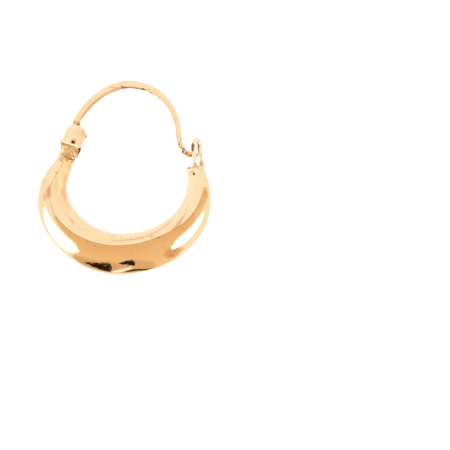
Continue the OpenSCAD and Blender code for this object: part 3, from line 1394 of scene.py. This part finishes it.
    def build(self, sweep: Sweep) -> bpy.types.Object:
        """Builds the wire and its drilled round end as one piece.

        Args:
            sweep: the tree that sweeps sections.

        Returns:
            The ear wire.
        """
        gold = WIRE_GOLD.material(self.marks())
        skin = Skin(gold, self.sides, wave=0.03, wave_scale=1.1, squareness=self.squareness)
        strip = sweep.mesh(self.stations(), skin)
        soft, rim, half = 0.05, 0.015, self.paddle_t / 2 - self.shrink
        outer, inner = self.paddle_d / 2, self.bore_d / 2
        ring = [(inner, half - soft), (inner + soft, half), (outer - soft, half)]
        ring += [(outer - rim, half - rim), (outer, half - soft)]
        profile = ring + [(r, -z) for r, z in reversed(ring)]
        paddle = moved(lathe(profile, 72), Matrix.Translation(PIN_AT))
        drill = moved(lathe(rounded_edge(inner, -1, 1, 0.01), 48), Matrix.Translation(PIN_AT))
        wire = cut(cut(strip, [paddle], Boolean.ADD), [drill])
        wire.polygons.foreach_set("use_smooth", [True] * len(wire.polygons))
        return self.piece("ear_wire_strip", wire, WIRE_GOLD, Slot.WIRE)


@dataclass(frozen=True)
class Flag:
    """A card of the studio, cut and hung so that a piece mirrors it to the camera in one patch.

    Each section is a row number along the piece with the lower and the upper end of the patch there,
    in degrees round it.
    """

    name: str
    sections: tuple[Triple, ...]
    distance: float
    low_glow: Triple
    high_glow: Triple
    soft: Triple = (0.0, 0.0, 0.0)
    ragged: float = 0.0
    overhang: float = 0.0
    on: Mirror = Mirror.CRESCENT


SOFTBOX = (5, 5, 5)


@dataclass
class Studio:
    """A white tent over a white floor, with two softboxes and the dark of the room in front."""

    right: Vector = field(default_factory=lambda: Vector((0.91355, -0.04139, -0.40463)))
    up: Vector = field(default_factory=lambda: Vector((-0.08457, 0.95375, -0.28848)))
    aim: Vector = field(default_factory=lambda: Vector((9.561, -4.951, -1.582)) * MM)
    field_width: float = 45.0
    lens: float = 300.0
    sensor: float = 36.0
    floor_size: float = 4.0
    floor_glow: float = 0.45
    tent_glow: float = 2.0
    tear_scale: float = 1400.0
    cells_per_section: int = 5
    cells_across: int = 8
    seam_gap: float = 0.8
    flags: tuple[Flag, ...] = (
        Flag(
            "softbox_left",
            (
                (2.5, 78, 83), (2.9, 68, 91), (3.3, 59, 97), (3.8, 54, 99), (4.2, 59, 98), (4.5, 72, 93),
                (4.75, 82, 86),
            ),
            12, SOFTBOX, SOFTBOX, soft=(0.12, 0.03, 0.05),
        ),
        Flag(
            "softbox_right",
            (
                (8.8, 57, 61), (9.05, 48, 70), (9.45, 41, 67), (9.85, 35, 59), (10.15, 32, 48),
                (10.35, 32, 35),
            ),
            12, SOFTBOX, SOFTBOX, soft=(0.15, 0.03, 0.05),
        ),
        Flag(
            "dark_left",
            (
                (5.05, 59, 61), (5.3, 53, 68), (5.6, 46, 75), (5.85, 39, 77), (6.03, 44, 77),
                (6.08, 58, 72),
            ),
            11, (0.012, 0.008, 0.004), (0.035, 0.02, 0.01), soft=(0.1, 0.1, 0.06), ragged=1.6,
        ),
        Flag(
            "dark_right",
            ((6.45, 72, 75), (6.7, 67, 79), (6.95, 60, 81), (7.12, 59, 79), (7.22, 66, 72)),
            11, (0.012, 0.008, 0.004), (0.035, 0.02, 0.01), soft=(0.1, 0.1, 0.06), ragged=1.6,
        ),
        Flag(
            "dark_low",
            ((6.45, 38, 41), (6.8, 37, 47), (7.05, 33, 48), (7.3, 26, 40), (7.65, 26, 30)),
            11, (0.06, 0.04, 0.02), (0.08, 0.05, 0.03), soft=(0.1, 0.1, 0.1), ragged=0.8,
        ),
        Flag(
            "cream_low",
            ((5.95, 40, 46), (6.3, 39, 54), (6.7, 46, 60), (7.0, 50, 58)),
            10.5, (1.2, 1.25, 1.35), (1.1, 1.1, 1.1), soft=(0.3, 0.3, 0.2), ragged=0.8,
        ),
        Flag(
            "umber_left",
            ((4.5, 55, 66), (4.9, 42, 80), (5.5, 36, 86), (6.1, 34, 88), (6.5, 50, 84)),
            12.5, (0.66, 0.43, 0.25), (0.76, 0.53, 0.33), soft=(0.3, 0.35, 0.15),
        ),
        Flag(
            "umber_right",
            ((6.1, 40, 60), (6.5, 28, 84), (7.0, 22, 88), (7.4, 18, 84), (7.9, 20, 60)),
            12.5, (0.78, 0.52, 0.32), (0.72, 0.5, 0.31), soft=(0.3, 0.3, 0.15),
        ),
        Flag(
            "brown_right",
            ((8.3, 40, 60), (8.55, 26, 70), (8.8, 24, 76), (9.05, 26, 74)),
            12.5, (0.76, 0.5, 0.33), (0.72, 0.47, 0.3), soft=(0.25, 0.25, 0.15), ragged=1.0,
        ),
        Flag(
            "warm_wall",
            (
                (3.0, 105, 107), (3.5, 103, 115), (4.0, 103, 121), (4.4, 100, 123), (4.8, 45, 125),
                (5.3, 38, 126), (6.0, 34, 126), (6.8, 28, 123), (7.5, 18, 121), (8.2, 15, 118),
                (8.7, 20, 113), (9.2, 70, 107), (9.7, 64, 97), (10.2, 50, 76), (10.7, 25, 60),
                (11.2, 12, 30),
            ),
            15, (0.99, 0.76, 0.55), (0.84, 0.57, 0.33), soft=(0.06, 0.0, 0.02), overhang=4.0,
        ),
        Flag(
            "warm_ledge",
            (
                (2.9, 104, 108), (3.5, 103, 115), (4.0, 103, 121), (4.4, 98, 123), (4.8, 88, 125),
                (5.3, 86, 125), (6.0, 86, 125), (6.8, 86, 123), (7.5, 84, 121), (8.2, 80, 118),
                (8.7, 76, 113), (9.2, 70, 107), (9.7, 64, 97), (10.2, 52, 76),
            ),
            5, (0.9, 0.65, 0.43), (0.82, 0.55, 0.31), soft=(0.25, 0.0, 0.02), overhang=1.6,
        ),
        Flag(
            "warm_left",
            (
                (0.1, 118, 150), (0.6, 112, 165), (1.2, 106, 176), (1.8, 106, 182), (2.4, 124, 182),
                (2.9, 140, 176),
            ),
            1.7, (1.0, 0.95, 0.88), (0.98, 0.85, 0.72),
        ),
        Flag(
            "pale_inner",
            (
                (2.6, 134, 174), (3.2, 128, 174), (4.0, 127, 174), (4.8, 129, 172), (5.6, 130, 170),
                (6.2, 134, 165),
            ),
            3.5, (1.0, 0.98, 0.94), (1.0, 0.98, 0.94), soft=(0.1, 0.1, 0.1),
        ),
        Flag(
            "pale_right",
            ((9.4, 112, 150), (10.0, 98, 152), (10.6, 88, 155), (11.3, 48, 150), (11.95, 24, 140)),
            2.5, (1.0, 1.0, 1.0), (1.0, 1.05, 1.15), soft=(0.2, 0.2, 0.1),
        ),
        Flag(
            "line_left",
            ((0.8, 52, 58), (1.3, 52, 59), (2.0, 50, 58), (2.6, 46, 56)),
            3, (0.3, 0.16, 0.08), (0.4, 0.24, 0.12), on=Mirror.WIRE,
        ),
        Flag(
            "shade_top",
            ((2.1, 40, 60), (2.6, 34, 66), (3.3, 32, 70), (4.2, 34, 66), (4.9, 44, 60)),
            3.5, (0.8, 0.48, 0.28), (0.92, 0.64, 0.45), soft=(0.1, 0.3, 0.1), on=Mirror.WIRE,
        ),
        Flag(
            "line_top",
            ((3.1, 47, 51), (3.6, 45, 51), (4.2, 46, 52), (4.8, 50, 54)),
            3, (0.08, 0.04, 0.02), (0.2, 0.1, 0.05), on=Mirror.WIRE,
        ),
        Flag(
            "line_right",
            ((4.8, 55, 61), (5.6, 55, 61), (6.6, 56, 62), (7.6, 56, 62)),
            3, (0.4, 0.22, 0.12), (0.6, 0.4, 0.25), on=Mirror.WIRE,
        ),
        Flag(
            "shade_right",
            ((5.4, 62, 84), (6.2, 62, 88), (7.2, 62, 90), (8.0, 62, 84)),
            3.5, (0.92, 0.68, 0.5), (0.96, 0.8, 0.66), soft=(0.1, 0.3, 0.1), on=Mirror.WIRE,
        ),
    )

    def camera(self) -> None:
        """A long lens at the photo's angle."""
        data = bpy.data.cameras.new("camera")
        data.lens, data.sensor_width = self.lens, self.sensor
        data.clip_start, data.clip_end = 0.01, 20.0
        made = linked("camera", data)
        ahead = self.right.cross(self.up)
        distance = self.field_width * MM / self.sensor * self.lens
        turn = Matrix((self.right, self.up, ahead)).transposed().to_4x4()
        made.matrix_world = Matrix.Translation(self.aim + ahead * distance) @ turn
        bpy.context.scene.camera = made

    def flag(self, flag: Flag, mirror: Union[Crescent, EarWire]) -> None:
        """Cuts and hangs one flag.

        Args:
            flag: the patch that it is mirrored in, its distance and its glow.
            mirror: what mirrors it.
        """
        ahead = self.right.cross(self.up)
        columns, rows = (len(flag.sections) - 1) * self.cells_per_section, self.cells_across
        corners, shares, edges = [], [], []
        for i in range(columns + 1):
            u, low, high = row_at(flag.sections, (len(flag.sections) - 1) * i / columns)
            if isinstance(mirror, Crescent) and low < mirror.seam(u):
                high = min(high, mirror.seam(u) - self.seam_gap)
            for k in range(rows + 1):
                point, normal = mirror.spot(u, low + (high - low) * k / rows)
                mirrored = normal * (2 * normal.dot(ahead)) - ahead
                corners.append(point + mirrored * flag.distance * MM)
                shares.append(k / rows)
                edges.append(min(i, columns - i) / columns)
            rise = (corners[-1] - corners[-2]).normalized()
            corners[-1] += rise * flag.overhang * MM
        faces = []
        for i in range(columns):
            for k in range(rows):
                a = i * (rows + 1) + k
                faces.append((a, a + 1, a + rows + 2, a + rows + 1))
        mesh = bpy.data.meshes.new(flag.name)
        mesh.from_pydata(corners, [], faces)
        mesh.attributes.new("share", "FLOAT", "POINT").data.foreach_set("value", shares)
        mesh.attributes.new("end", "FLOAT", "POINT").data.foreach_set("value", edges)
        mesh.materials.append(self.card(flag))
        made = linked(flag.name, mesh)
        made.visible_camera = made.visible_diffuse = made.visible_shadow = False

    def card(self, flag: Flag) -> bpy.types.Material:
        """The glow of a flag, torn or faded at its edges.

        Args:
            flag: the flag.

        Returns:
            Its material.
        """
        material = bpy.data.materials.new(flag.name)
        s = blank(material)
        share = s.attribute("share")
        tone = s.mixed(share, flag.low_glow + (1.0,), flag.high_glow + (1.0,))
        glow = s.node("ShaderNodeEmission", {"Color": tone, "Strength": 1.0}).outputs[0]
        tear = s.math("SUBTRACT", s.noise(s.place(), self.tear_scale, 5.0), 0.5)
        tear = s.math("MULTIPLY", tear, flag.ragged)
        kept = 1.0
        for side, soft in zip((share, s.math("SUBTRACT", 1.0, share), s.attribute("end")), flag.soft):
            if soft:
                kept = s.math("MULTIPLY", kept, s.ramp(s.math("ADD", side, tear), 0.0, soft))
        clear = s.node("ShaderNodeBsdfTransparent").outputs[0]
        glow = s.node("ShaderNodeMixShader", {0: kept, 1: clear, 2: glow}).outputs[0]
        s.node("ShaderNodeOutputMaterial", {"Surface": glow})
        return material

    def floor(self) -> None:
        """A plain white floor."""
        work = bmesh.new()
        bmesh.ops.create_grid(work, x_segments=1, y_segments=1, size=self.floor_size / 2)
        mesh = closed_work(work, "floor")
        made = linked("floor", mesh)
        made.visible_glossy = False
        material = bpy.data.materials.new("floor_white")
        s = blank(material)
        matt = s.node("ShaderNodeBsdfDiffuse", {"Color": (0.93, 0.93, 0.93, 1.0)}).outputs[0]
        lit = s.node("ShaderNodeEmission", {"Strength": self.floor_glow}).outputs[0]
        white = s.node("ShaderNodeAddShader", {0: matt, 1: lit}).outputs[0]
        s.node("ShaderNodeOutputMaterial", {"Surface": white})
        mesh.materials.append(material)

    def tent(self) -> None:
        """Even white light for the floor, and what the gold mirrors."""
        world = bpy.data.worlds.new("tent")
        s = blank(world)
        white = (1.0, 1.0, 1.0, 1.0)
        mirrored = s.node("ShaderNodeBackground", {"Color": white, "Strength": 1.0}).outputs[0]
        plain = s.node("ShaderNodeBackground", {"Color": white, "Strength": self.tent_glow}).outputs[0]
        glossy = s.node("ShaderNodeLightPath").outputs["Is Glossy Ray"]
        both = s.node("ShaderNodeMixShader", {0: glossy, 1: plain, 2: mirrored}).outputs[0]
        s.node("ShaderNodeOutputWorld", {"Surface": both})
        bpy.context.scene.world = world

    def build(self, **mirrors: Union[Crescent, EarWire]) -> None:
        """Sets up the camera, the floor, the tent and the flags that each piece mirrors."""
        self.camera()
        self.floor()
        self.tent()
        for flag in self.flags:
            self.flag(flag, mirrors[flag.on.value])
        bpy.context.scene.view_settings.view_transform = "Standard"


def main() -> None:
    """Builds every sub-assembly in order."""
    logging.basicConfig(level=logging.INFO, format="%(message)s")
    crescent = Crescent()
    catch = CatchEnd(crescent=crescent)
    wire = EarWire()
    Studio().build(crescent=crescent, wire=wire)
    sweep = Sweep()
    crescent.build(sweep, catch.vent())
    catch.disc()
    catch.eye(sweep)
    catch.beads()
    hinge = Hinge(crescent=crescent)
    hinge.block()
    hinge.cheeks()
    hinge.rivet()
    wire.build(sweep)


if __name__ == "__main__":
    main()
